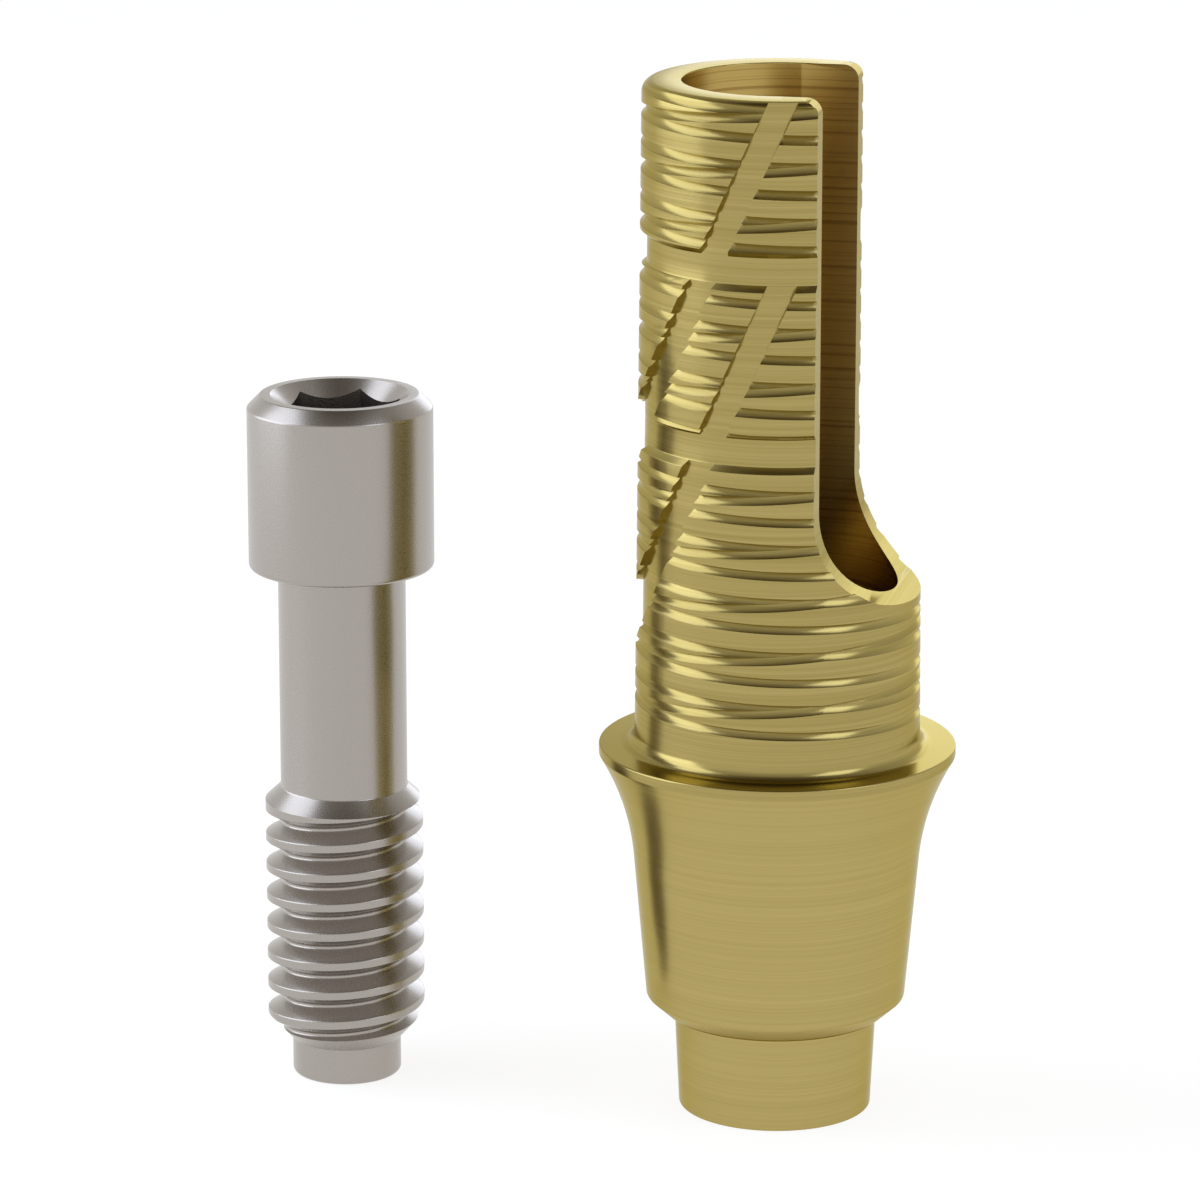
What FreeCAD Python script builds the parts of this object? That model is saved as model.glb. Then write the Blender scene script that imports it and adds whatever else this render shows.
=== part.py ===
import FreeCAD, Part
import math
import os

import Sketcher

# A titanium base abutment for a dental implant, with its retaining screw standing beside it.
# Millimetres, +Z up. The abutment's axis is the Z axis, its foot stands at z = 0,
# and the cut-out in its sleeve faces +X. The screw stands on the same plane, towards -X.

SIZES = {
    # conical nose that enters the implant
    "nose_foot_radius": 1.085,
    "nose_top_radius": 1.140,
    "nose_height": 1.12,
    # shoulder and cone of the emergence profile
    "seat_radius": 1.245,
    "shoulder_height": 1.31,
    "cone_foot_radius": 1.46,
    "cone_angle": 5.15,
    "cone_top_height": 2.93,
    # collar
    "rim_radius": 2.00,
    "rim_thickness": 0.11,
    "collar_height": 4.25,
    "collar_fillet": 0.15,
    # sleeve that the crown is bonded to
    "sleeve_height": 7.50,
    "sleeve_foot_radius": 1.60,
    "sleeve_angle": 0.50,
    "sleeve_top_round": 0.13,
    # retention rings, bands and milled slots
    "ring_depth": 0.030,
    "ring_width": 0.115,
    "ring_pitch": 0.30,
    "ring_margin": 0.40,
    "band_depth": 0.080,
    "band_width": 0.30,
    "band_drop": 1.85,
    "band_spacing": 2.00,
    "band_count": 2,
    "slot_width": 0.30,
    "slot_angle": 25.0,
    "slot_rise": 1.20,
    # screw channel
    "screw_clearance": 0.05,
    "thread_clearance": 0.03,
    "seat_height": 2.60,
    "channel_tilt": 25.0,
    "channel_pivot_height": 5.87,
    # cut-out in the sleeve
    "cutout_offset": 0.652,
    "cutout_radius": 1.15,
    "cutout_bend_height": 7.17,
    "cutout_corner": 0.17,
    # screw
    "screw_length": 8.00,
    "screw_spacing": 5.03,
    "pilot_radius": 0.622,
    "pilot_height": 0.42,
    "pilot_chamfer": 0.05,
    "thread_radius": 0.90,
    "thread_depth": 0.210,
    "thread_pitch": 0.35,
    "thread_flank_angle": 30.0,
    "thread_crest_width": 0.060,
    "thread_start_height": 0.735,
    "thread_turns": 8,
    "shank_radius": 0.7225,
    "head_radius": 1.05,
    "head_height": 2.00,
    "head_foot_chamfer": 0.05,
    "head_chamfer": 0.15,
    "socket_width": 1.20,
    "socket_depth": 1.20,
    "socket_mouth_radius": 0.785,
    "socket_turn": 25.5,
    # spare length of a cutting tool past the surface it leaves
    "overrun": 1.00,
}

SOCKET_SIDES = 6
# what a number may be off and still count as the same
ROUNDING = 1e-6


class Size:
    """A length that knows its value and the formula that a sketch is bound to."""

    def __init__(self, value, text):
        self.value = value
        self.text = text

    def __add__(self, other):
        other = as_size(other)
        return Size(self.value + other.value, f"({self.text} + {other.text})")

    def __sub__(self, other):
        other = as_size(other)
        return Size(self.value - other.value, f"({self.text} - {other.text})")

    def __rsub__(self, other):
        return as_size(other) - self

    def __mul__(self, other):
        other = as_size(other)
        return Size(self.value * other.value, f"({self.text} * {other.text})")

    def __truediv__(self, other):
        other = as_size(other)
        return Size(self.value / other.value, f"({self.text} / {other.text})")

    __radd__ = __add__
    __rmul__ = __mul__


def as_size(number):
    return number if isinstance(number, Size) else Size(float(number), f"{float(number)}")


def trig(name, angle):
    """Sine, cosine or tangent of an angle in degrees."""
    angle = as_size(angle)
    return Size(getattr(math, name)(math.radians(angle.value)), f"{name}({angle.text})")


def size(name):
    return Size(SIZES[name], f"Sizes.{name}")


doc = FreeCAD.newDocument("abutment")
sheet = doc.addObject("Spreadsheet::Sheet", "Sizes")
for row, (name, value) in enumerate(SIZES.items(), start=1):
    sheet.set(f"A{row}", name)
    sheet.set(f"B{row}", str(value))
    sheet.setAlias(f"B{row}", name)
doc.recompute()

ZERO = Size(0.0, "0")


def origin_plane(body, role):
    return next(feature for feature in body.Origin.OriginFeatures if feature.Role == role)


def new_sketch(body, name, role="XZ_Plane"):
    sketch = body.newObject("Sketcher::SketchObject", name)
    sketch.AttachmentSupport = [(origin_plane(body, role), "")]
    sketch.MapMode = "FlatFace"
    return sketch


def bind(sketch, constraint, formula):
    index = sketch.addConstraint(constraint)
    sketch.setExpression(f".Constraints[{index}]", formula.text)


def bind_point(sketch, edge, point, place):
    """Ties one end of an edge to its distances from the sketch's origin."""
    for kind, distance in (("DistanceX", place[0]), ("DistanceY", place[1])):
        bind(sketch, Sketcher.Constraint(kind, -1, 1, edge, point, distance.value), distance)


def vector(place):
    return FreeCAD.Vector(place[0].value, place[1].value, 0)


def arc_between(start, end, radius, left):
    """The shorter arc from start to end; left tells on which side of the way its centre is."""
    way = end - start
    middle = (start + end) / 2
    side = FreeCAD.Vector(-way.y, way.x, 0).normalize() * (1 if left else -1)
    centre = middle + side * math.sqrt(max(radius**2 - (way.Length / 2) ** 2, 0))
    angles = [math.atan2(p.y - centre.y, p.x - centre.x) for p in (start, end)]
    if not left:
        angles.reverse()
    circle = Part.Circle(centre, FreeCAD.Vector(0, 0, 1), radius)
    return Part.ArcOfCircle(circle, *angles)


def draw_loop(sketch, places, arcs=None):
    """Draws a closed loop. arcs maps the number of a place to the radius and side of the arc after it."""
    arcs = arcs or {}
    first = sketch.GeometryCount
    count = len(places)
    ends = []
    for number, place in enumerate(places):
        start = vector(place)
        end = vector(places[(number + 1) % count])
        if number in arcs:
            radius, left = arcs[number]
            sketch.addGeometry(arc_between(start, end, radius.value, left), False)
            ends.append((1, 2) if left else (2, 1))
        else:
            sketch.addGeometry(Part.LineSegment(start, end), False)
            ends.append((1, 2))
    for number in range(count):
        following = (number + 1) % count
        meeting = (first + number, ends[number][1], first + following, ends[following][0])
        sketch.addConstraint(Sketcher.Constraint("Coincident", *meeting))
    for number, place in enumerate(places):
        bind_point(sketch, first + number, ends[number][0], place)
    for number, (radius, _) in arcs.items():
        bind(sketch, Sketcher.Constraint("Radius", first + number, radius.value), radius)


def revolve(body, name, sketch, kind="PartDesign::Revolution"):
    feature = body.newObject(kind, name)
    feature.Profile = sketch
    feature.ReferenceAxis = (sketch, ["V_Axis"])
    feature.Angle = 360
    body.Tip = feature
    doc.recompute()
    return feature


def cut_both_ways(body, name, sketch, width):
    """Cuts a sketch of the middle plane out to the same distance on both sides."""
    feature = body.newObject("PartDesign::Pocket", name)
    feature.Profile = sketch
    feature.Type = 0
    feature.SideType = "Symmetric"
    feature.setExpression("Length", width.text)
    body.Tip = feature
    doc.recompute()
    return feature


# heights and radii that several features share
collar_top = size("collar_height")
sleeve_top = collar_top + size("sleeve_height")
sleeve_slope = trig("tan", size("sleeve_angle"))
above_all = sleeve_top + size("overrun")
bore_radius = size("head_radius") + size("screw_clearance")
hole_radius = size("thread_radius") + size("thread_clearance")


def sleeve_radius(height):
    """Outer radius of the tapered sleeve at a height."""
    return size("sleeve_foot_radius") - (height - collar_top) * sleeve_slope


def band_height(number):
    """Height of the middle of a band, counted from the top."""
    return sleeve_top - size("band_drop") - size("band_spacing") * number


def draw_abutment_outline(body):
    """Half section of the turned outside, from the foot of the nose to the top of the sleeve."""
    slope = trig("tan", size("cone_angle"))
    cone_top = size("cone_foot_radius") + (size("cone_top_height") - size("shoulder_height")) * slope
    rim_under = collar_top - size("rim_thickness")
    out = size("rim_radius") - cone_top
    up = rim_under - size("cone_top_height")
    lean = out * trig("cos", size("cone_angle")) - up * trig("sin", size("cone_angle"))
    flare_radius = (out * out + up * up) / (lean * 2)
    fillet_top = collar_top + size("collar_fillet")
    round_start = sleeve_top - size("sleeve_top_round")
    sketch = new_sketch(body, "outline")
    places = [
        (ZERO, ZERO),
        (size("nose_foot_radius"), ZERO),
        (size("nose_top_radius"), size("nose_height")),
        (size("seat_radius"), size("nose_height")),
        (size("cone_foot_radius"), size("shoulder_height")),
        (cone_top, size("cone_top_height")),
        (size("rim_radius"), rim_under),
        (size("rim_radius"), collar_top),
        (sleeve_radius(fillet_top) + size("collar_fillet"), collar_top),
        (sleeve_radius(fillet_top), fillet_top),
        (sleeve_radius(round_start), round_start),
        (sleeve_radius(round_start) - size("sleeve_top_round"), sleeve_top),
        (ZERO, sleeve_top),
    ]
    arcs = {
        5: (flare_radius, False),
        8: (size("collar_fillet"), False),
        10: (size("sleeve_top_round"), True),
    }
    draw_loop(sketch, places, arcs)
    return sketch


def draw_screw_channel(body):
    """The bore for the screw's head, its flat seat, and the hole that the thread passes."""
    sketch = new_sketch(body, "channel_section")
    below = ZERO - size("overrun")
    draw_loop(sketch, [
        (ZERO, below),
        (hole_radius, below),
        (hole_radius, size("seat_height")),
        (bore_radius, size("seat_height")),
        (bore_radius, above_all),
        (ZERO, above_all),
    ])
    return sketch


def ring_heights():
    """Rings at an even pitch in each tier between the bands, above them and below them."""
    foot = collar_top + size("collar_fillet") + size("ring_width")
    top = sleeve_top - size("sleeve_top_round")
    heights = []
    for number in range(int(SIZES["band_count"]) + 1):
        if number < int(SIZES["band_count"]):
            start = band_height(number) + size("ring_margin")
            end = top if number == 0 else band_height(number - 1) - size("ring_margin")
            step = size("ring_pitch")
        else:
            start = band_height(number - 1) - size("ring_margin")
            end = foot
            step = ZERO - size("ring_pitch")
        count = int(abs(end.value - start.value) / SIZES["ring_pitch"] + ROUNDING) + 1
        heights += [start + step * turn for turn in range(count)]
    return heights


def draw_rings(body):
    """Shallow V rings that follow the sleeve's taper."""
    sketch = new_sketch(body, "ring_sections")
    reach = size("ring_depth")
    half = size("ring_width")
    for height in ring_heights():
        crest = sleeve_radius(height)
        draw_loop(sketch, [
            (crest - size("ring_depth"), height),
            (crest + reach, height - half),
            (crest + reach, height + half),
        ])
    return sketch


def draw_bands(body):
    """Bands round the sleeve, with a flat floor and sides at 45 degrees."""
    sketch = new_sketch(body, "band_sections")
    half = size("band_width") / 2
    out = size("band_depth") * 2
    for number in range(int(SIZES["band_count"])):
        middle = band_height(number)
        low = middle - half
        high = middle + half
        draw_loop(sketch, [
            (sleeve_radius(low) - size("band_depth"), low),
            (sleeve_radius(low) - size("band_depth") + out, low - out),
            (sleeve_radius(high) - size("band_depth") + out, high + out),
            (sleeve_radius(high) - size("band_depth"), high),
        ])
    return sketch


def draw_tilt_fan(body):
    """The wedge between the upright and the tilted axis of the channel."""
    sketch = new_sketch(body, "tilt_fan")
    rise = above_all - size("channel_pivot_height")
    draw_loop(sketch, [
        (ZERO, size("channel_pivot_height")),
        (rise * trig("tan", size("channel_tilt")), above_all),
        (ZERO, above_all),
    ])
    return sketch


def draw_cutout(body):
    """What is milled away in front: a flat with a rounded top corner that sweeps out below."""
    sketch = new_sketch(body, "cutout_side")
    flat = size("cutout_offset")
    corner = size("cutout_corner")
    bend = size("cutout_bend_height")
    low = bend - size("cutout_radius")
    out = flat + size("cutout_radius")
    draw_loop(
        sketch,
        [
            (flat - corner, sleeve_top),
            (flat, sleeve_top - corner),
            (flat, bend),
            (out, low),
            (out + size("overrun"), low),
            (out + size("overrun"), above_all),
            (flat - corner, above_all),
        ],
        {0: (corner, False), 2: (size("cutout_radius"), True)},
    )
    return sketch


def cut_tilted_channel(body):
    """The tilted part of the channel: a half rectangle turned about the tilted axis."""
    sketch = new_sketch(body, "tilted_section")
    lean_x = trig("sin", size("channel_tilt"))
    lean_z = trig("cos", size("channel_tilt"))
    pivot = size("channel_pivot_height")
    reach = (above_all - pivot) / lean_z
    end = (reach * lean_x, pivot + reach * lean_z)
    side_x = bore_radius * lean_z
    side_z = ZERO - bore_radius * lean_x
    draw_loop(sketch, [
        (ZERO, pivot),
        (side_x, pivot + side_z),
        (end[0] + side_x, end[1] + side_z),
        end,
    ])
    axis = sketch.addGeometry(Part.LineSegment(vector((ZERO, pivot)), vector(end)), True)
    bind_point(sketch, axis, 1, (ZERO, pivot))
    bind_point(sketch, axis, 2, end)
    feature = body.newObject("PartDesign::Groove", "tilted_channel")
    feature.Profile = sketch
    feature.ReferenceAxis = (sketch, ["Axis0"])
    feature.Angle = 360
    body.Tip = feature
    doc.recompute()
    return feature


def place_box(name, corner, extent, angle):
    """A box with its sizes bound, turned about Y by an angle and moved to a corner."""
    box = doc.addObject("Part::Box", name)
    for side, length in zip(("Length", "Width", "Height"), extent):
        box.setExpression(side, length.text)
    for axis, distance in zip("xyz", corner):
        box.setExpression(f"Placement.Base.{axis}", distance.text)
    box.Placement.Rotation = FreeCAD.Rotation(FreeCAD.Vector(0, 1, 0), angle.value)
    box.setExpression("Placement.Rotation.Angle", angle.text)
    return box


def slot_box(number):
    """The way of the cutter for one slot, which leans over as it goes up from its band."""
    lean_x = trig("sin", size("slot_angle"))
    lean_z = trig("cos", size("slot_angle"))
    crossing = band_height(number) + size("slot_rise")
    top = above_all if number == 0 else band_height(number - 1)
    up = (top - crossing) / lean_z
    down = size("sleeve_foot_radius") * 2 / lean_x
    half = size("slot_width") / 2
    wide = size("rim_radius") * 2
    corner = (
        ZERO - down * lean_x - half * lean_z,
        ZERO - size("rim_radius"),
        crossing - down * lean_z + half * lean_x,
    )
    return place_box(f"slot_way_{number + 1}", corner, (size("slot_width"), wide, up + down), size("slot_angle"))


def make_slot_cutter():
    """The slots' ways, kept to the thin skin outside the floor that the bands also have."""
    ways = doc.addObject("Part::MultiFuse", "slot_ways")
    ways.Shapes = [slot_box(number) for number in range(int(SIZES["band_count"]))]
    core = doc.addObject("Part::Cone", "slot_floor")
    low = collar_top
    core.setExpression("Radius1", (sleeve_radius(low) - size("band_depth")).text)
    core.setExpression("Radius2", (sleeve_radius(above_all) - size("band_depth")).text)
    core.setExpression("Height", (above_all - low).text)
    core.setExpression("Placement.Base.z", low.text)
    cutter = doc.addObject("Part::Cut", "slot_cutter")
    cutter.Base = ways
    cutter.Tool = core
    return cutter


def make_abutment():
    body = doc.addObject("PartDesign::Body", "turned_body")
    revolve(body, "turned_outside", draw_abutment_outline(body))
    revolve(body, "rings", draw_rings(body), "PartDesign::Groove")
    revolve(body, "bands", draw_bands(body), "PartDesign::Groove")
    revolve(body, "channel", draw_screw_channel(body), "PartDesign::Groove")
    cut_tilted_channel(body)
    cut_both_ways(body, "channel_fan", draw_tilt_fan(body), bore_radius * 2)
    cut_both_ways(body, "cutout", draw_cutout(body), size("rim_radius") * 2)
    abutment = doc.addObject("Part::Cut", "abutment")
    abutment.Base = body
    abutment.Tool = make_slot_cutter()
    abutment.Label = "abutment_body"
    return abutment


def thread_places():
    """Half section of the threaded end, with its turns drawn as rings at the thread's pitch."""
    flank = size("thread_depth") * trig("tan", size("thread_flank_angle"))
    half = size("thread_crest_width") / 2
    crest = size("thread_radius")
    root = crest - size("thread_depth")
    turns = int(SIZES["thread_turns"])
    places = []
    for turn in range(turns):
        middle = size("thread_start_height") + size("thread_pitch") * turn
        if turn:
            places.append((root, middle - half - flank))
        places.append((crest, middle - half))
        places.append((crest, middle + half))
        if turn < turns - 1:
            places.append((root, middle + half + flank))
    return places


def draw_screw_outline(body):
    """Half section of the screw, from its plain tip to its head."""
    sketch = new_sketch(body, "screw_outline")
    turns = thread_places()
    run_out = (size("thread_radius") - size("shank_radius")) * trig("tan", size("thread_flank_angle"))
    head_under = size("screw_length") - size("head_height")
    tip = size("pilot_chamfer")
    edge = size("head_foot_chamfer")
    chamfer = size("head_chamfer")
    head = size("head_radius")
    places = [
        (ZERO, ZERO),
        (size("pilot_radius") - tip, ZERO),
        (size("pilot_radius"), tip),
        (size("pilot_radius"), size("pilot_height")),
        *turns,
        (size("shank_radius"), turns[-1][1] + run_out),
        (size("shank_radius"), head_under),
        (head - edge, head_under),
        (head, head_under + edge),
        (head, size("screw_length") - chamfer),
        (head - chamfer, size("screw_length")),
        (ZERO, size("screw_length")),
    ]
    draw_loop(sketch, places)
    return sketch


def draw_socket(body):
    """The hexagon for the driver, seen from above, turned as the screw happens to stand."""
    sketch = new_sketch(body, "socket_hexagon", "XY_Plane")
    step = 360 / SOCKET_SIDES
    reach = size("socket_width") / 2 / trig("cos", step / 2)
    corners = []
    for number in range(SOCKET_SIDES):
        angle = size("socket_turn") + step * number
        corners.append((reach * trig("cos", angle), reach * trig("sin", angle)))
    draw_loop(sketch, corners)
    sketch.setExpression("AttachmentOffset.Base.z", size("screw_length").text)
    return sketch


def draw_socket_mouth(body):
    sketch = new_sketch(body, "socket_mouth")
    mouth = size("socket_mouth_radius")
    draw_loop(sketch, [
        (ZERO, size("screw_length") - mouth),
        (mouth, size("screw_length")),
        (ZERO, size("screw_length")),
    ])
    return sketch


def make_screw():
    body = doc.addObject("PartDesign::Body", "screw")
    revolve(body, "turned_screw", draw_screw_outline(body))
    socket = body.newObject("PartDesign::Pocket", "socket")
    socket.Profile = draw_socket(body)
    socket.Type = 0
    socket.setExpression("Length", size("socket_depth").text)
    body.Tip = socket
    doc.recompute()
    revolve(body, "mouth", draw_socket_mouth(body), "PartDesign::Groove")
    body.setExpression("Placement.Base.x", (ZERO - size("screw_spacing")).text)
    body.Label = "abutment_screw"
    return body


def check_document():
    """Stops where a feature failed, or where a cut took nothing away."""
    for thing in doc.Objects:
        if "Invalid" in thing.State or "Error" in thing.State:
            raise RuntimeError(f"{thing.Label} failed: {thing.State}")
    for body in (thing for thing in doc.Objects if thing.TypeId == "PartDesign::Body"):
        solids = [feature for feature in body.Group if hasattr(feature, "BaseFeature")]
        for before, after in zip(solids, solids[1:]):
            if after.Shape.Volume >= before.Shape.Volume:
                raise RuntimeError(f"{after.Label} cuts nothing")


def write_part(part):
    shape = part.Shape
    if shape.isNull() or not shape.isValid() or len(shape.Solids) != 1:
        raise RuntimeError(f"{part.Label} is not one valid solid")
    shape.exportStep(f"parts/{part.Label}.step")
    box = shape.BoundBox
    print(f"{part.Label}: {shape.Volume:.4f} mm3, x {box.XMin:.3f} to {box.XMax:.3f}, "
          f"y {box.YMin:.3f} to {box.YMax:.3f}, z {box.ZMin:.3f} to {box.ZMax:.3f}")


parts = [make_abutment(), make_screw()]
doc.recompute()
check_document()
os.makedirs("parts", exist_ok=True)
for part in parts:
    write_part(part)
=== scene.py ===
# %% [markdown]
# # A dental abutment and its retaining screw
#
# The real thing is a titanium base that is screwed into a dental implant, with a crown bonded over
# its grooved sleeve. It is turned and grooved on a lathe, cut open by a small end mill, and then
# anodised to a gold colour. Its screw stands beside it in bare titanium.
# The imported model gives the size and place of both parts, and this script gives them their looks.

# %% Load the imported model
import math

import bpy
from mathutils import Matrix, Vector


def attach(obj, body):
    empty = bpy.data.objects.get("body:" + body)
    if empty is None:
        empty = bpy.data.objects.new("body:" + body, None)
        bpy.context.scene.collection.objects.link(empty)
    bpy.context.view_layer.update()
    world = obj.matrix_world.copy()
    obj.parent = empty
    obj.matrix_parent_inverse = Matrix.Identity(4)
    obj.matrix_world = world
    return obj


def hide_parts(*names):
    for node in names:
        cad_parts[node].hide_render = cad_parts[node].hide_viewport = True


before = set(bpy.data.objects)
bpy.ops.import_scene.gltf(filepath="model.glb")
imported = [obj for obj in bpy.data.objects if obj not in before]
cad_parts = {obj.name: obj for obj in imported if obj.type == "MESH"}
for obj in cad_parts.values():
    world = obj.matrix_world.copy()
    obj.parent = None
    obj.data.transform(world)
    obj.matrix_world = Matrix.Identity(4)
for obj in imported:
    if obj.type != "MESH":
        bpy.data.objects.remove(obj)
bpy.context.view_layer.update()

# %% [markdown]
# ## Working on something tiny
#
# The whole part is 12 mm tall. Blender's tools merge and round at about a hundredth of a millimetre
# when one unit is one metre, which is as much as the finest cuts here. So each piece is modelled
# at one unit to the millimetre, with the numbers that a drawing would have, and is shrunk
# to metres as its last step.

# %% Select one piece, and settle its place in its mesh
MILLIMETRE = 0.001
FULL_TURN = math.tau
SAME_PLACE = 0.00002


def only(piece):
    """Makes one piece the selected and active one."""
    bpy.ops.object.select_all(action="DESELECT")
    piece.select_set(True)
    bpy.context.view_layer.objects.active = piece


def settle(piece):
    """Moves the piece's place, turn and size into its mesh."""
    only(piece)
    bpy.ops.object.transform_apply(location=True, rotation=True, scale=True)


def modify(piece, kind, **settings):
    """Adds a modifier and applies it."""
    only(piece)
    modifier = piece.modifiers.new(kind.lower(), kind)
    for setting, value in settings.items():
        setattr(modifier, setting, value)
    bpy.ops.object.modifier_apply(modifier=modifier.name)


def close_shell(piece):
    """Merges doubles and turns every face outwards."""
    only(piece)
    bpy.ops.object.mode_set(mode="EDIT")
    bpy.ops.mesh.select_all(action="SELECT")
    bpy.ops.mesh.remove_doubles(threshold=SAME_PLACE)
    bpy.ops.mesh.normals_make_consistent(inside=False)
    bpy.ops.object.mode_set(mode="OBJECT")


def triangles(piece):
    piece.data.calc_loop_triangles()
    return len(piece.data.loop_triangles)


# %% [markdown]
# ## Drawing an outline
#
# No turned edge is perfectly sharp, and on polished metal it is the tiny rounding that catches the
# light. An outline is therefore a list of corners, each with its own radius, and a helper
# puts a short arc in the place of each rounded corner.

# %% Corners with a radius
ARC_STEP = math.radians(12)


def rounded(corners):
    """Points of a closed outline. A corner is (across, up) or (across, up, radius)."""
    points = []
    for number, corner in enumerate(corners):
        here = Vector(corner[:2])
        radius = corner[2] if len(corner) > 2 else 0
        if not radius:
            points.append(here)
            continue
        back = (Vector(corners[number - 1][:2]) - here).normalized()
        ahead = (Vector(corners[(number + 1) % len(corners)][:2]) - here).normalized()
        half = back.angle(ahead) / 2
        centre = here + (back + ahead).normalized() * radius / math.sin(half)
        start = here + back * radius / math.tan(half) - centre
        turn = start.angle_signed(here + ahead * radius / math.tan(half) - centre)
        steps = max(2, round(abs(turn) / ARC_STEP))
        for step in range(steps + 1):
            arm = start.copy()
            angle = -turn * step / steps
            arm.x = start.x * math.cos(angle) - start.y * math.sin(angle)
            arm.y = start.x * math.sin(angle) + start.y * math.cos(angle)
            points.append(centre + arm)
    return points


def sweep_out(start, slope, end, count):
    """Points between start and end, on the arc that leaves start at a slope from upright."""
    start, end = Vector(start), Vector(end)
    outward = Vector((math.cos(slope), -math.sin(slope)))
    way = end - start
    radius = way.length_squared / (2 * way.dot(outward))
    centre = start + outward * radius
    first = start - centre
    turn = -first.angle_signed(end - centre)
    points = []
    for step in range(1, count):
        angle = turn * step / count
        points.append((
            centre.x + first.x * math.cos(angle) - first.y * math.sin(angle),
            centre.y + first.x * math.sin(angle) + first.y * math.cos(angle),
        ))
    return points


print("a quarter round has", len(rounded([(0, 0), (1, 0, 0.2), (1, 1), (0, 1)])) - 3, "points")

# %% [markdown]
# ## Turning, milling and threading
#
# Three helpers stand for the three machines. The lathe draws an outline vertex by vertex and spins
# it about Z. The mill pushes an outline along Y. The third takes the outline of a pointed
# tool round the part with a Screw modifier.

# %% The lathe
def draw_outline(name, points):
    """Draws a closed outline in the XZ plane by extruding one vertex from point to point."""
    bpy.ops.object.select_all(action="DESELECT")
    bpy.ops.mesh.primitive_plane_add(size=1)
    piece = bpy.context.object
    piece.name = name
    bpy.ops.object.mode_set(mode="EDIT")
    bpy.ops.mesh.merge(type="CENTER")
    bpy.ops.transform.translate(value=(points[0][0], 0, points[0][1]))
    for here, there in zip(points, points[1:] + points[:1]):
        way = (there[0] - here[0], 0, there[1] - here[1])
        bpy.ops.mesh.extrude_region_move(TRANSFORM_OT_translate={"value": way})
    bpy.ops.mesh.select_all(action="SELECT")
    bpy.ops.mesh.remove_doubles(threshold=SAME_PLACE)
    bpy.ops.mesh.select_all(action="SELECT")
    return piece


def turned(name, corners, steps):
    """A solid of revolution."""
    piece = draw_outline(name, rounded(corners))
    bpy.ops.mesh.spin(steps=steps, angle=FULL_TURN, center=(0, 0, 0), axis=(0, 0, 1))
    bpy.ops.object.mode_set(mode="OBJECT")
    close_shell(piece)
    return piece


# %% The mill
def milled(name, corners, half_width):
    """An outline pushed through along Y to the same distance on both sides."""
    piece = draw_outline(name, rounded(corners))
    bpy.ops.transform.translate(value=(0, -half_width, 0))
    bpy.ops.mesh.edge_face_add()
    bpy.ops.mesh.extrude_region_move(TRANSFORM_OT_translate={"value": (0, half_width * 2, 0)})
    bpy.ops.object.mode_set(mode="OBJECT")
    close_shell(piece)
    return piece


# %% The tool that goes round
def carried_round(piece, turns, pitch, right_handed, steps):
    """Takes a closed section round Z as a screw thread, and closes its ends."""
    way = 1 if right_handed else -1
    modify(
        piece,
        "SCREW",
        axis="Z",
        angle=way * turns * FULL_TURN,
        screw_offset=turns * pitch,
        iterations=1,
        steps=round(turns * steps),
        render_steps=round(turns * steps),
        use_smooth_shade=False,
    )
    only(piece)
    bpy.ops.object.mode_set(mode="EDIT")
    bpy.ops.mesh.select_all(action="DESELECT")
    bpy.ops.mesh.select_non_manifold()
    bpy.ops.mesh.fill_holes(sides=0)
    bpy.ops.object.mode_set(mode="OBJECT")
    close_shell(piece)


def take_away(piece, *cutters):
    """Cuts each cutter out of the piece and throws the cutter away."""
    for cutter in cutters:
        modify(piece, "BOOLEAN", operation="DIFFERENCE", solver="MANIFOLD", object=cutter)
        bpy.data.objects.remove(cutter)


# %% [markdown]
# ## The abutment's turned shape
#
# From below: a slightly conical nose, a narrow seat, the cone that fills the implant, a flare
# up to the collar, and the long sleeve that the crown is bonded to. Two bands are turned
# into the sleeve. The bore is part of the same outline: a hole for the thread, a flat seat
# for the screw's head, and the wide channel above it. A spin does all of this in one go, which
# keeps the facets of inside and outside in step.

# %% Turn the abutment
STEPS_ROUND = 192
COLLAR_TOP = 4.25
SLEEVE_TOP = 11.75
SLEEVE_FOOT_RADIUS = 1.60
SLEEVE_SLOPE = math.tan(math.radians(0.5))
NOSE_HEIGHT = 1.12
CONE_FOOT = (1.46, 1.31)
CONE_HEIGHT = 2.93
CONE_SLOPE = math.radians(5.15)
RIM_RADIUS = 2.00
RIM_FOOT = 4.14
BAND_DEPTH = 0.08
BAND_HALF = 0.15
BAND_WALL = 0.066
BAND_HEIGHTS = (9.90, 7.90)
BORE_RADIUS = 1.10
HOLE_RADIUS = 0.93
SEAT_HEIGHT = 2.60


def sleeve_radius(height):
    return SLEEVE_FOOT_RADIUS - (height - COLLAR_TOP) * SLEEVE_SLOPE


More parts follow.
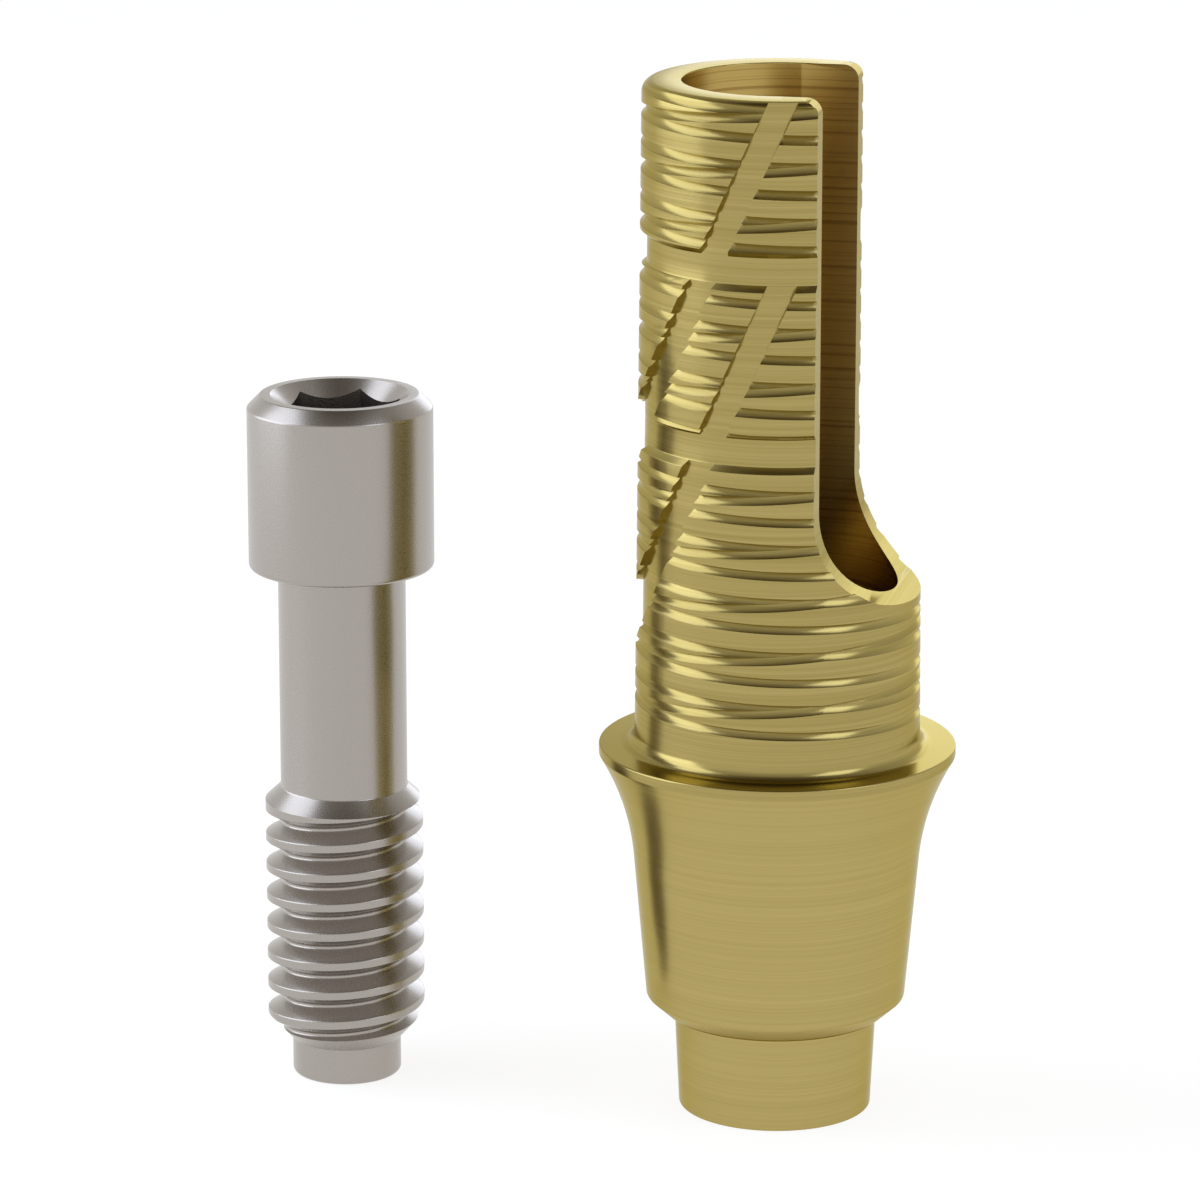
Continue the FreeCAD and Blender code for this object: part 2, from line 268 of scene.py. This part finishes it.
cone_top = (CONE_FOOT[0] + (CONE_HEIGHT - CONE_FOOT[1]) * math.tan(CONE_SLOPE), CONE_HEIGHT)
rim_under = (RIM_RADIUS, RIM_FOOT)
outside = [
    (HOLE_RADIUS, 0),
    (1.085, 0, 0.03),
    (1.140, NOSE_HEIGHT, 0.02),
    (1.245, NOSE_HEIGHT, 0.02),
    (*CONE_FOOT, 0.05),
    cone_top,
    *sweep_out(cone_top, CONE_SLOPE, rim_under, 16),
    (*rim_under, 0.015),
    (RIM_RADIUS, COLLAR_TOP, 0.02),
    (sleeve_radius(COLLAR_TOP), COLLAR_TOP, 0.15),
]
for height in reversed(BAND_HEIGHTS):
    low, high = height - BAND_HALF, height + BAND_HALF
    outside += [
        (sleeve_radius(low), low - BAND_WALL, 0.008),
        (sleeve_radius(low) - BAND_DEPTH, low, 0.012),
        (sleeve_radius(high) - BAND_DEPTH, high, 0.012),
        (sleeve_radius(high), high + BAND_WALL, 0.008),
    ]
outside.append((sleeve_radius(SLEEVE_TOP), SLEEVE_TOP, 0.13))
inside = [
    (BORE_RADIUS, SLEEVE_TOP, 0.015),
    (BORE_RADIUS, SEAT_HEIGHT),
    (HOLE_RADIUS, SEAT_HEIGHT),
]
abutment = turned("abutment", outside + inside, STEPS_ROUND)
print("turned abutment:", triangles(abutment), "triangles")

# %% [markdown]
# ## The angled screw channel and the cut-out
#
# The sleeve is open on one side, so that a crown can have its screw hole at up to 25 degrees from
# the implant's axis. Inside, the channel is the straight bore, the same bore leaned over, and all
# that lies between them. Outside, an end mill leaves a flat wall with a rounded top corner that
# sweeps out at its foot.

# %% Cut the angled channel
CHANNEL_TILT = math.radians(25)
CHANNEL_PIVOT = 5.87
CHANNEL_LENGTH = 9.0

bpy.ops.object.select_all(action="DESELECT")
bpy.ops.mesh.primitive_cylinder_add(
    vertices=STEPS_ROUND,
    radius=BORE_RADIUS,
    depth=CHANNEL_LENGTH,
    location=(
        math.sin(CHANNEL_TILT) * CHANNEL_LENGTH / 2,
        0,
        CHANNEL_PIVOT + math.cos(CHANNEL_TILT) * CHANNEL_LENGTH / 2,
    ),
    rotation=(0, CHANNEL_TILT, 0),
)
leaned_bore = bpy.context.object
settle(leaned_bore)
reach = CHANNEL_LENGTH * math.cos(CHANNEL_TILT)
fan = milled(
    "fan",
    [
        (0, CHANNEL_PIVOT),
        (reach * math.tan(CHANNEL_TILT), CHANNEL_PIVOT + reach),
        (0, CHANNEL_PIVOT + reach),
    ],
    BORE_RADIUS,
)
take_away(abutment, leaned_bore, fan)
print("with its angled channel:", triangles(abutment), "triangles")

# %% Cut the sleeve open
CUTOUT_FLAT = 0.652
CUTOUT_RADIUS = 1.15
CUTOUT_BEND = 7.17
CUTOUT_CORNER = 0.17
FOOT_STEPS = 24
CORNER_STEPS = 8
QUARTER_TURN = math.radians(90)
FAR = 3.0
ABOVE = SLEEVE_TOP + 1

foot_arc = []
for step in range(1, FOOT_STEPS + 1):
    angle = QUARTER_TURN * step / FOOT_STEPS
    foot_arc.append((
        CUTOUT_FLAT + CUTOUT_RADIUS * (1 - math.cos(angle)),
        CUTOUT_BEND - CUTOUT_RADIUS * math.sin(angle),
    ))
top_arc = []
for step in range(CORNER_STEPS + 1):
    angle = QUARTER_TURN * step / CORNER_STEPS
    top_arc.append((
        CUTOUT_FLAT - CUTOUT_CORNER * (1 - math.cos(angle)),
        SLEEVE_TOP - CUTOUT_CORNER * (1 - math.sin(angle)),
    ))
cutout = milled(
    "cutout",
    [
        (CUTOUT_FLAT, CUTOUT_BEND),
        *foot_arc,
        (FAR, foot_arc[-1][1]),
        (FAR, ABOVE),
        (top_arc[-1][0], ABOVE),
        *reversed(top_arc),
    ],
    FAR,
)
take_away(abutment, cutout)
print("with its cut-out:", triangles(abutment), "triangles")

# %% [markdown]
# ## The slots
#
# Two slots, 0.3 mm wide, are milled across the sleeve and lean over by 25 degrees. The cutter
# always points at the sleeve's axis, so that the walls stand square to the sleeve all the way
# round. Each cutter starts as a ribbon of the sleeve's own surface, trimmed by three planes. Pushed
# outwards and inwards, it becomes a block that reaches the same floor as the bands.

# %% Mill the slots
SLOT_HALF = 0.15
SLOT_ANGLE = math.radians(25)
SLOT_RISE = 1.20
CUTTER_OUT = 1.10


def trim(point, normal):
    """Throws away what lies on the normal's side of a plane."""
    bpy.ops.mesh.select_all(action="SELECT")
    bpy.ops.mesh.bisect(plane_co=point, plane_no=normal, clear_outer=True)


def slot_cutter(name, crossing, top):
    """A block over the slot that crosses the axis at one height and ends level at another."""
    bpy.ops.object.select_all(action="DESELECT")
    bpy.ops.mesh.primitive_cone_add(
        vertices=STEPS_ROUND,
        radius1=sleeve_radius(COLLAR_TOP),
        radius2=sleeve_radius(ABOVE),
        depth=ABOVE - COLLAR_TOP,
        end_fill_type="NOTHING",
        location=(0, 0, (ABOVE + COLLAR_TOP) / 2),
    )
    cutter = bpy.context.object
    cutter.name = name
    settle(cutter)
    sideways = Vector((math.cos(SLOT_ANGLE), 0, -math.sin(SLOT_ANGLE)))
    middle = Vector((0, 0, crossing))
    bpy.ops.object.mode_set(mode="EDIT")
    trim(middle + sideways * SLOT_HALF, sideways)
    trim(middle - sideways * SLOT_HALF, -sideways)
    trim((0, 0, top), (0, 0, 1))
    bpy.ops.mesh.select_all(action="SELECT")
    bpy.ops.transform.resize(value=(CUTTER_OUT, CUTTER_OUT, 1), center_override=(0, 0, 0))
    inwards = 1 - (CUTTER_OUT - 1 + BAND_DEPTH / SLEEVE_FOOT_RADIUS) / CUTTER_OUT
    bpy.ops.mesh.extrude_region()
    bpy.ops.transform.resize(value=(inwards, inwards, 1), center_override=(0, 0, 0))
    bpy.ops.mesh.select_all(action="SELECT")
    bpy.ops.object.mode_set(mode="OBJECT")
    close_shell(cutter)
    return cutter


slot_tops = (ABOVE, BAND_HEIGHTS[0])
for number, (height, top) in enumerate(zip(BAND_HEIGHTS, slot_tops)):
    take_away(abutment, slot_cutter(f"slot_{number}", height + SLOT_RISE, top))
print("with its slots:", triangles(abutment), "triangles")

# %% [markdown]
# ## The crossing grooves
#
# The cement holds on to fine grooves. They are two helices that start at the back, just above the
# collar: a left-handed one with a pitch of 0.3 mm and a right-handed one with a pitch
# of 0.6 mm. Where they cross they part again, which gives the sleeve its plaited look. Each groove
# is a barb: it slopes in from below on a hollow face and ends in a wall that is nearly level, so
# that the crown can't be pulled off.

# %% Cut the grooves
GROOVE_STEPS = 120
GROOVE_START_ANGLE = math.radians(102.5)
GROOVE_FOOT = -0.047
GROOVE_ROOF = 0.061
FACE_RADIUS = 0.192
FACE_TILTS = (52, 45, 38, 31, 24, 18)
PATH_FOOT_RADIUS = 1.605
PATH_TAPER = -0.0483
CLEAR = 0.05

first_tilt = math.radians(FACE_TILTS[0])
groove_face = []
for tilt in FACE_TILTS:
    angle = math.radians(tilt)
    groove_face.append((
        PATH_FOOT_RADIUS - FACE_RADIUS * (math.cos(angle) - math.cos(first_tilt)),
        GROOVE_FOOT + FACE_RADIUS * (math.sin(first_tilt) - math.sin(angle)),
    ))
deepest = groove_face[-1]
roof_slope = (GROOVE_ROOF - deepest[1]) / (PATH_FOOT_RADIUS - deepest[0])
groove_section = [
    (PATH_FOOT_RADIUS + CLEAR, GROOVE_FOOT - CLEAR / math.tan(first_tilt)),
    *groove_face,
    (PATH_FOOT_RADIUS + CLEAR, GROOVE_ROOF + CLEAR * roof_slope),
]


def groove_tool(name, start, turns, pitch, right_handed):
    """The space that the tool sweeps on its way up the sleeve, drawn in a little by a taper."""
    tool = draw_outline(name, groove_section)
    bpy.ops.object.mode_set(mode="OBJECT")
    carried_round(tool, turns, pitch, right_handed, GROOVE_STEPS)
    modify(tool, "SIMPLE_DEFORM", deform_method="TAPER", deform_axis="Z", factor=PATH_TAPER)
    tool.location.z = start
    tool.rotation_euler.z = GROOVE_START_ANGLE
    settle(tool)
    return tool


take_away(
    abutment,
    groove_tool("left_handed_groove", start=4.594, turns=24.2, pitch=0.30, right_handed=False),
    groove_tool("right_handed_groove", start=4.701, turns=12.0, pitch=0.60, right_handed=True),
)
print("with its grooves:", triangles(abutment), "triangles")

# %% [markdown]
# ## The screw
#
# The blank is turned first: a short plain tip, a chamfer that leads the thread in, the threaded
# part, a thinner shank and the head. The thread is then cut as a real one is, by a pointed tool
# that goes round at a pitch of 0.35 mm. Cutting beats adding turns here, because the chamfers at
# both ends of the thread come out right by themselves. On its last half turn the tool draws back,
# which is a wider turn about a centre of its own.

# %% Turn the blank
SCREW_PLACE = -5.03
SCREW_LENGTH = 8.00
SCREW_STEPS = 144
TIP_RADIUS = 0.622
THREAD_RADIUS = 0.90
SHANK_RADIUS = 0.7225
HEAD_RADIUS = 1.05
HEAD_FOOT = 6.00
HEAD_CHAMFER = 0.15

screw = turned(
    "screw",
    [
        (0, 0),
        (TIP_RADIUS, 0, 0.06),
        (TIP_RADIUS, 0.42, 0.03),
        (THREAD_RADIUS, 0.73),
        (THREAD_RADIUS, 3.272),
        (SHANK_RADIUS, 3.437, 0.03),
        (SHANK_RADIUS, HEAD_FOOT, 0.02),
        (HEAD_RADIUS, HEAD_FOOT, 0.06),
        (HEAD_RADIUS, SCREW_LENGTH - HEAD_CHAMFER, 0.04),
        (HEAD_RADIUS - HEAD_CHAMFER, SCREW_LENGTH, 0.03),
        (0, SCREW_LENGTH),
    ],
    SCREW_STEPS,
)
print("turned screw:", triangles(screw), "triangles")

# %% Cut the thread
THREAD_PITCH = 0.35
THREAD_STEPS = 96
ROOT_RADIUS = 0.71
ROOT_ROUND = 0.03
CREST_HALF = 0.045
CREST_ROUND = 0.025
FLANK_TILT = math.radians(30)
TOOL_BACK = 0.2
TOOL_CLEAR = 0.008
THREAD_START = -0.327
THREAD_TURNS = 10.30
RUN_OUT_TURNS = 0.45
RUN_OUT_WIDER = 0.30

flank = (THREAD_RADIUS - ROOT_RADIUS) * math.tan(FLANK_TILT)
edge = THREAD_PITCH / 2 - CREST_HALF
almost = THREAD_PITCH / 2 - 0.0005


def thread_cutter(name, turns, wider=0):
    """The pointed tool taken round. A wider turn keeps its start and then leaves the screw."""
    root, crest = ROOT_RADIUS + wider, THREAD_RADIUS + wider
    upper_half = [
        (root, edge - flank, ROOT_ROUND),
        (crest, edge, CREST_ROUND),
        (crest + TOOL_CLEAR, almost),
        (crest + TOOL_BACK, almost),
    ]
    lower_half = [(across, -up, *radius) for across, up, *radius in reversed(upper_half)]
    cutter = draw_outline(name, rounded(upper_half + lower_half))
    bpy.ops.object.mode_set(mode="OBJECT")
    carried_round(cutter, turns, THREAD_PITCH, True, THREAD_STEPS)
    cutter.location.x = -wider
    settle(cutter)
    return cutter


thread_tool = thread_cutter("thread_tool", THREAD_TURNS)
thread_tool.location.z = THREAD_START
settle(thread_tool)
run_out = thread_cutter("run_out", RUN_OUT_TURNS, RUN_OUT_WIDER)
run_out.location.z = THREAD_START + THREAD_TURNS * THREAD_PITCH
run_out.rotation_euler.z = THREAD_TURNS * FULL_TURN
settle(run_out)
take_away(screw, thread_tool, run_out)
print("with its thread:", triangles(screw), "triangles")

# %% [markdown]
# ## The driver socket
#
# A hexagon is pressed into the head and its mouth is countersunk. The cone cuts the six flats in
# six arcs with a point between each two, which is the easiest thing to get wrong by hand
# and comes free from two cuts.

# %% Cut the hexagon and its mouth
SOCKET_SIDES = 6
SOCKET_FLATS = 1.20
SOCKET_DEPTH = 1.20
SOCKET_TURN = math.radians(25.5)
MOUTH_RADIUS = 0.785
MOUTH_CLEAR = 0.5
half_side = math.radians(30)

bpy.ops.object.select_all(action="DESELECT")
bpy.ops.mesh.primitive_cylinder_add(
    vertices=SOCKET_SIDES,
    radius=SOCKET_FLATS / 2 / math.cos(half_side),
    depth=SOCKET_DEPTH * 2,
    location=(0, 0, SCREW_LENGTH),
    rotation=(0, 0, SOCKET_TURN + half_side),
)
hexagon = bpy.context.object
settle(hexagon)
countersink = turned(
    "countersink",
    [
        (0, SCREW_LENGTH - MOUTH_RADIUS),
        (MOUTH_RADIUS + MOUTH_CLEAR, SCREW_LENGTH + MOUTH_CLEAR),
        (0, SCREW_LENGTH + MOUTH_CLEAR),
    ],
    SCREW_STEPS,
)
take_away(screw, hexagon, countersink)
print("with its socket:", triangles(screw), "triangles")

# %% [markdown]
# ## Finishing the meshes
#
# Both pieces are shaded smooth wherever two faces meet at less than 28 degrees, so the facets
# vanish and the cut edges stay crisp. Then they are shrunk to metres and tied to the frame:
# each stands for its CAD solid.

# %% Shrink, smooth and tie to the frame
SMOOTH_BELOW = math.radians(28)

screw.location.x = SCREW_PLACE
settle(screw)
for piece, node, slot in (
    (abutment, "abutment_body", "gold_titanium"),
    (screw, "abutment_screw", "bare_titanium"),
):
    close_shell(piece)
    piece.scale = (MILLIMETRE,) * 3
    settle(piece)
    bpy.ops.object.shade_smooth_by_angle(angle=SMOOTH_BELOW)
    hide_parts(node)
    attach(piece, "root")
    print(piece.name, "stands for", node, "with", triangles(piece), "triangles")

# %% [markdown]
# ## Shader maths as plain Python
#
# A material's patterns are sums and products. A small class wraps a socket, so that such an
# expression adds its own Math nodes, and one method makes any other node.

# %% A socket that can be used in a sum
class Wire:
    """An output socket. Operators on it add Math nodes to its tree."""

    def __init__(self, tree, socket):
        self.tree = tree
        self.socket = socket

    def maths(self, operation, first, second):
        return self.tree.node("ShaderNodeMath", {"operation": operation}, {0: first, 1: second})

    def __add__(self, other):
        return self.maths("ADD", self, other)

    def __sub__(self, other):
        return self.maths("SUBTRACT", self, other)

    def __rsub__(self, other):
        return self.maths("SUBTRACT", other, self)

    def __mul__(self, other):
        return self.maths("MULTIPLY", self, other)

    def __gt__(self, other):
        return self.maths("GREATER_THAN", self, other)

    def __lt__(self, other):
        return self.maths("LESS_THAN", self, other)

    __radd__ = __add__
    __rmul__ = __mul__


class Tree:
    """A node tree that is being drawn."""

    def __init__(self, owner):
        owner.use_nodes = True
        self.nodes = owner.node_tree.nodes
        self.links = owner.node_tree.links
        self.nodes.clear()

    def node(self, kind, settings=None, inputs=None, output=0):
        """Adds a node: its settings first, then the values or wires of its sockets."""
        made = self.nodes.new(kind)
        for setting, value in (settings or {}).items():
            if setting == "stops":
                self.set_stops(made.color_ramp, value)
            else:
                setattr(made, setting, value)
        for socket, value in (inputs or {}).items():
            if isinstance(value, Wire):
                self.links.new(value.socket, made.inputs[socket])
            else:
                made.inputs[socket].default_value = value
        return Wire(self, made.outputs[output]) if made.outputs else None

    def set_stops(self, ramp, stops):
        while len(ramp.elements) < len(stops):
            ramp.elements.new(0.5)
        for element, (place, colour) in zip(ramp.elements, stops):
            element.position = place
            element.color = (*colour, 1)

    def mix_colours(self, amount, first, second):
        """A blend of two colours."""
        return self.node(
            "ShaderNodeMix", {"data_type": "RGBA"}, {0: amount, 6: first, 7: second}, output=2
        )


print("a Wire can be added to, taken away and multiplied")

# %% [markdown]
# ## Gold-coloured titanium
#
# Anodising grows a clear oxide on the titanium, and light that comes back from both its faces
# gives an even olive gold. The lathe has left rings round the part: very fine ones that blur
# what it mirrors up and down, and a few broader ones that can be seen. Both come from noise
# that is stretched round the axis, which a noise does when height counts for far more in it than
# X and Y. The cone and nose, which seal in the implant, are painted paler, a painted reflection
# of the bright table that their own shadow dims. The seat above the nose is duller, and is painted
# lighter as painted light in place of the dark nose that it mirrors. The bore is painted a
# brighter, warmer gold as a painted reflection of its own walls, and keeps the drill's dark lines.

# %% Noise that runs round the axis
PER_METRE = 1000


def rings(tree, per_millimetre, wander, detail):
    """Noise in thin level lines: so many to the millimetre, wandering a little round the part."""
    place = tree.node("ShaderNodeTexCoord", output=3)
    sideways, upright = wander * PER_METRE, per_millimetre * PER_METRE
    stretched = tree.node(
        "ShaderNodeMapping",
        {"vector_type": "POINT"},
        {"Vector": place, "Scale": (sideways, sideways, upright)},
    )
    return tree.node(
        "ShaderNodeTexNoise",
        {"noise_dimensions": "3D"},
        {"Vector": stretched, "Scale": 1.0, "Detail": detail, "Roughness": 0.6},
    )


# %% The gold
GOLD_LIGHT = (0.425, 0.343, 0.126, 1)
GOLD_DEEP = (0.330, 0.259, 0.082, 1)
GOLD_EDGE = (0.74, 0.69, 0.50, 1)
# Painted reflection: the cone and nose are painted paler, standing in for the bright table that
# their shadow dims.
GOLD_PAINTED_PALER = (0.505, 0.403, 0.143, 1)
# Painted light: the seat is painted lighter than the gold, in place of the dark nose that it
# mirrors. Its rougher finish is real.
SEAT_PAINTED_LIGHTER = (0.56, 0.46, 0.20, 1)
# Painted reflection: the bore is painted a brighter, warmer gold for the light its walls throw at
# each other. BORE_LINE is the drill's real dark lines.
BORE_PAINTED_REFLECTION = (0.46, 0.325, 0.100, 1)
BORE_LINE = (0.30, 0.195, 0.055, 1)
BORE_DEEP_END = 3.0
BORE_WIDEST = 1.30
# Below this height the gold is painted paler.
PAINTED_PALER_BELOW = COLLAR_TOP - 0.12
SEAT_FROM = 1.145
SEAT_TO = 1.30

gold = bpy.data.materials.new("gold_titanium")
tree = Tree(gold)
fine = rings(tree, 60.0, 0.12, 3.0)
lines = rings(tree, 22.0, 0.015, 2.0)
broad = rings(tree, 5.0, 0.01, 1.0)
streaks = 0.25 * fine + 0.45 * lines + 0.30 * broad
shade = tree.node("ShaderNodeMapRange", {}, {0: streaks, 1: 0.40, 2: 0.60})

place = tree.node("ShaderNodeTexCoord", output=3)
across, along, up = (
    tree.node("ShaderNodeSeparateXYZ", {}, {"Vector": place}, output=axis) * PER_METRE
    for axis in range(3)
)
flat_side = along * along < (BORE_RADIUS + 0.008) ** 2
round_side = across * across + along * along < BORE_WIDEST ** 2
bore = flat_side * round_side * (up > BORE_DEEP_END) * (up < SLEEVE_TOP - 0.01)

marks = rings(tree, 18.0, 0.01, 4.0)
line = tree.node("ShaderNodeMapRange", {}, {0: marks, 1: 0.50, 2: 0.60})
turned_tone = tree.mix_colours(shade, GOLD_DEEP, GOLD_LIGHT)
# Painted reflection: below the collar the gold is painted paler.
painted_paler_tone = tree.mix_colours(0.45 * (up < PAINTED_PALER_BELOW), turned_tone, GOLD_PAINTED_PALER)
seat = (up > SEAT_FROM) * (up < SEAT_TO)
# Painted light: the seat is painted lighter.
outer_tone = tree.mix_colours(seat, painted_paler_tone, SEAT_PAINTED_LIGHTER)
# Painted reflection in the bore, with the drill's real dark lines over it.
bore_tone = tree.mix_colours(line, BORE_PAINTED_REFLECTION, BORE_LINE)
colour = tree.mix_colours(bore, outer_tone, bore_tone)
bump = tree.node("ShaderNodeBump", {}, {"Strength": 0.5, "Distance": 0.0000020, "Height": streaks})
surface = tree.node(
    "ShaderNodeBsdfPrincipled",
    {},
    {
        "Base Color": colour,
        "Metallic": 1.0,
        "Specular Tint": GOLD_EDGE,
        "Roughness": 0.15 + 0.12 * lines + 0.10 * bore + 0.22 * seat,
        "Normal": bump,
    },
)
tree.node("ShaderNodeOutputMaterial", {}, {"Surface": surface})
abutment.data.materials.clear()
abutment.data.materials.append(gold)
print(gold.name, "has", len(gold.node_tree.nodes), "nodes")

# %% [markdown]
# ## Bare titanium
#
# The screw has no colour of its own beyond the warm grey of the metal. It has been tumbled, so its
# surface is satin with an even fine grain and no rings.

# %% The grey
GREY = (0.385, 0.353, 0.320, 1)
GREY_LIGHT = (0.405, 0.373, 0.340, 1)

grey = bpy.data.materials.new("bare_titanium")
tree = Tree(grey)
place = tree.node("ShaderNodeTexCoord", output=3)
grain = tree.node("ShaderNodeTexNoise", {}, {"Vector": place, "Scale": 60000.0, "Detail": 2.0})
colour = tree.mix_colours(grain, GREY, GREY_LIGHT)
bump = tree.node("ShaderNodeBump", {}, {"Strength": 0.22, "Distance": 0.0000010, "Height": grain})
surface = tree.node(
    "ShaderNodeBsdfPrincipled",
    {},
    {"Base Color": colour, "Metallic": 1.0, "Roughness": 0.24 + 0.08 * grain, "Normal": bump},
)
tree.node("ShaderNodeOutputMaterial", {}, {"Surface": surface})
screw.data.materials.clear()
screw.data.materials.append(grey)
print(grey.name, "has", len(grey.node_tree.nodes), "nodes")

# %% [markdown]
# ## The white table
#
# A part like this is photographed on white, with nothing but a soft shadow. The floor is a dull
# white that also glows, but only for the camera and for what mirrors it, so that it reads
# as white without more light on the metal, and still takes a faint shadow.

# %% The floor
bpy.ops.object.select_all(action="DESELECT")
bpy.ops.mesh.primitive_plane_add(size=1.2)
floor = bpy.context.object
floor.name = "floor"

FLOOR_MATT = 0.26
FLOOR_GLOW = 0.82
white = bpy.data.materials.new("white_table")
tree = Tree(white)
seen = tree.node("ShaderNodeLightPath", output=0)
mirrored = tree.node("ShaderNodeLightPath", output=3)
through = tree.node("ShaderNodeLightPath", output=6)
matt = tree.node("ShaderNodeBsdfDiffuse", {}, {"Color": (FLOOR_MATT,) * 3 + (1,)})
strength = (seen + mirrored + through) * FLOOR_GLOW
glow = tree.node("ShaderNodeEmission", {}, {"Color": (1, 1, 1, 1), "Strength": strength})
both = tree.node("ShaderNodeAddShader", {}, {0: matt, 1: glow})
tree.node("ShaderNodeOutputMaterial", {}, {"Surface": both})
floor.data.materials.append(white)
print("the floor is", round(floor.dimensions.x, 2), "m wide")

# %% [markdown]
# ## The room
#
# Polished metal shows the room, so the room makes the picture. Its walls are white all round and
# fade to a warm dark zone overhead, which is what draws the dark line along every edge that faces
# up. Three cool soft boxes put the pale glints in the grooves: one close on the left, one high on
# the right, and one behind, which lights the collar and the foot of the cut-out.

# %% Walls and the dark zone overhead
WALL = (1.0, 1.0, 1.0)
DARK = (0.085, 0.066, 0.046)
FRONT_TURN = math.radians(12.5)
DARK_RISE = math.radians(93)
dark_way = (
    math.sin(FRONT_TURN) * math.cos(DARK_RISE),
    -math.cos(FRONT_TURN) * math.cos(DARK_RISE),
    math.sin(DARK_RISE),
)

room = bpy.context.scene.world or bpy.data.worlds.new("room")
bpy.context.scene.world = room
tree = Tree(room)
direction = tree.node("ShaderNodeTexCoord", output=0)
towards = tree.node(
    "ShaderNodeVectorMath", {"operation": "DOT_PRODUCT"}, {0: direction, 1: dark_way}, output=1
)
stops = [
    (0.10, WALL),
    (0.42, (0.82, 0.82, 0.81)),
    (0.70, (0.58, 0.57, 0.55)),
    (0.88, (0.34, 0.32, 0.29)),
    (0.97, DARK),
]
shade = tree.node("ShaderNodeValToRGB", {"stops": stops}, {"Fac": towards})
seen = tree.node("ShaderNodeLightPath", output=0)
look = tree.mix_colours(seen, shade, (1, 1, 1, 1))
background = tree.node("ShaderNodeBackground", {}, {"Color": look, "Strength": 1.0})
tree.node("ShaderNodeOutputWorld", {}, {"Surface": background})
print("overhead the room is", DARK[0], "times as bright as its walls")

# %% Soft boxes
COOL = (0.75, 0.83, 1.0)


def soft_box(name, place, aim, width, height, brightness):
    """A cool panel at one place that faces another, both in millimetres."""
    lamp = bpy.data.lights.new(name, "AREA")
    lamp.shape = "RECTANGLE"
    lamp.size = width * MILLIMETRE
    lamp.size_y = height * MILLIMETRE
    lamp.energy = brightness * math.pi * lamp.size * lamp.size_y
    lamp.color = COOL
    box = bpy.data.objects.new(name, lamp)
    bpy.context.scene.collection.objects.link(box)
    box.location = Vector(place) * MILLIMETRE
    box.rotation_euler = (Vector(place) - Vector(aim)).to_track_quat("Z", "Y").to_euler()
    box.visible_camera = False


for name, place, aim, width, height, brightness in (
    ("soft_box_left", (-57, -8, 46), (0, 0, 40), 58, 88, 2.15),
    ("soft_box_right", (210, -70, 230), (0, 0, 0), 150, 150, 2.0),
    ("soft_box_back", (15, 340, 88), (0, 0, 88), 182, 176, 1.6),
):
    soft_box(name, place, aim, width, height, brightness)
print("three soft boxes")

# %% [markdown]
# ## The camera
#
# The photograph was taken with a long lens from a little above, with the sleeve's open side to
# the right. Place, turn and lens were worked out from the ellipses of the collar and of the
# sleeve's top.

# %% The camera
lens = bpy.data.cameras.new("camera")
lens.lens = 177.397
lens.sensor_width = 36
lens.clip_start = 0.001
lens.clip_end = 10
camera = bpy.data.objects.new("camera", lens)
bpy.context.scene.collection.objects.link(camera)
camera.location = (0.011863, -0.062689, 0.022548)
camera.rotation_euler = (math.radians(75.355), 0, math.radians(12.5))
bpy.context.scene.camera = camera
bpy.context.scene.view_settings.view_transform = "Standard"
print("the camera stands", round(camera.location.length * 1000, 1), "mm away")
